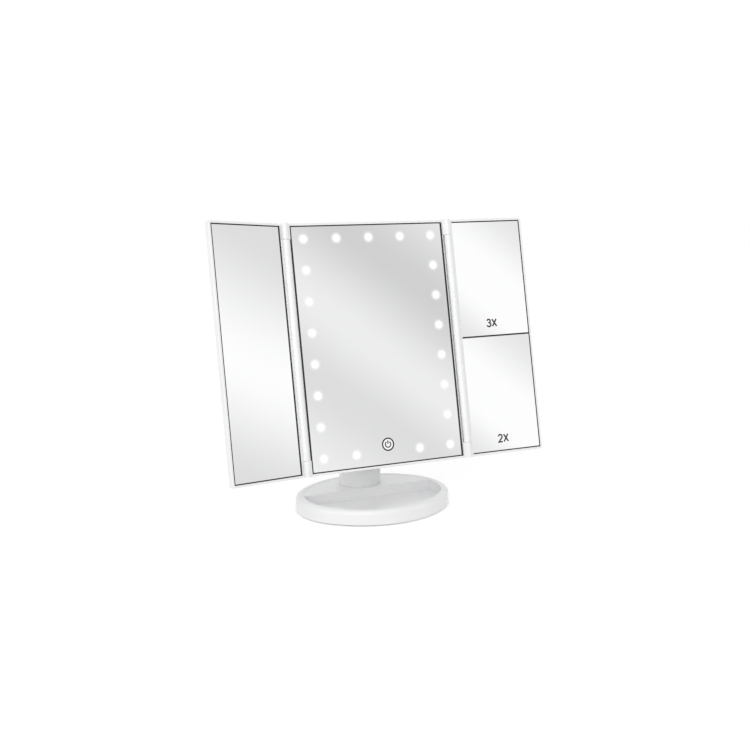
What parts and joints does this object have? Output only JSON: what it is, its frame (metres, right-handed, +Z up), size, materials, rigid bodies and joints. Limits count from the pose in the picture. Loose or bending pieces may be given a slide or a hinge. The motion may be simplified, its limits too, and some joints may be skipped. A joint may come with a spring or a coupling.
{
  "type": "trifold vanity mirror",
  "caption": "Tabletop vanity mirror with a lit centre panel on a tilting neck, a plain folding wing, a magnifying folding wing and an oval tray base.",
  "frame": {"origin": "centre of the base's underside, on the table", "axes": "+Z up, +X to the right of a person who looks into the mirror, +Y away from that person"},
  "size_m": [0.3382, 0.1247, 0.2848],
  "materials": {
    "white_plastic": "smooth glossy white moulding",
    "grey_plastic": "light grey moulding",
    "pad_rubber": "soft anti-slip pad",
    "foam": "foam mounting tape",
    "seal": "dark gasket line",
    "steel": "plated steel",
    "friction_plastic": "filled friction plastic",
    "mirror_glass": "silvered glass",
    "magnifying_glass": "silvered concave glass",
    "lens": "milky diffuser",
    "board": "circuit board",
    "white_board": "white circuit board",
    "spring_metal": "plated spring metal",
    "ink": "printed mark",
    "black_plastic": "black moulding and wire cover",
    "cell_metal": "battery cell wrapper"
  },
  "bodies": {
    "base": {"base_shell": "white_plastic", "base_bottom_plate": "grey_plastic", "base_pad": "pad_rubber", "base_screws": "steel", "ballast_plate": "steel", "neck": "white_plastic", "neck_screws": "steel"},
    "head": {"tilt_shaft": "steel", "tilt_washers": "friction_plastic", "tilt_spring_washers": "steel", "tilt_nut": "steel", "tilt_caps": "white_plastic", "tilt_bracket": "white_plastic", "bracket_screws": "steel", "center_frame": "white_plastic", "rear_cover": "white_plastic", "rear_cover_screws": "steel", "center_mirror": "mirror_glass", "center_seal": "seal", "center_tape": "foam", "light_lenses": "lens", "led_chips": "lens", "led_board": "white_board", "touch_mark": "ink", "touch_spring": "spring_metal", "touch_board": "board", "control_board": "board", "usb_socket": "steel", "power_switch_body": "black_plastic", "battery_cells": "cell_metal", "battery_contacts": "spring_metal", "wiring": "black_plastic", "left_hinge_pins": "steel", "right_hinge_pins": "steel"},
    "left_wing": {"left_frame": "white_plastic", "left_back_cover": "white_plastic", "left_mirror": "mirror_glass", "left_seal": "seal", "left_tape": "foam", "left_bushes": "friction_plastic"},
    "right_wing": {"right_frame": "white_plastic", "right_back_cover": "white_plastic", "upper_magnifier": "magnifying_glass", "lower_magnifier": "magnifying_glass", "right_seal": "seal", "right_pads": "foam", "right_bushes": "friction_plastic"},
    "power_switch": {"power_switch_knob": "black_plastic"},
    "battery_door": {"battery_door": "white_plastic"}
  },
  "joints": [
    {"name": "head_tilt", "type": "hinge", "parent": "base", "child": "head", "pos_m": [0, -0.0024, 0.0727], "axis": [-1, 0, 0], "range_deg": [-35, 45]},
    {"name": "left_wing_fold", "type": "hinge", "parent": "head", "child": "left_wing", "pos_m": [-0.0853, -0.00976, 0.16447], "axis": [0, 0.2504, 0.9681], "range_deg": [-19.5, 160.5]},
    {"name": "right_wing_fold", "type": "hinge", "parent": "head", "child": "right_wing", "pos_m": [0.0853, -0.00976, 0.16447], "axis": [0, -0.2504, -0.9681], "range_deg": [-2.2, 177.8]},
    {"name": "power_switch_slide", "type": "slide", "parent": "head", "child": "power_switch", "axis": [1, 0, 0], "range_m": [0, 0.003]},
    {"name": "battery_door_slide", "type": "slide", "parent": "head", "child": "battery_door", "axis": [0, 0.2504, 0.9681], "range_m": [0, 0.008]}
  ]
}
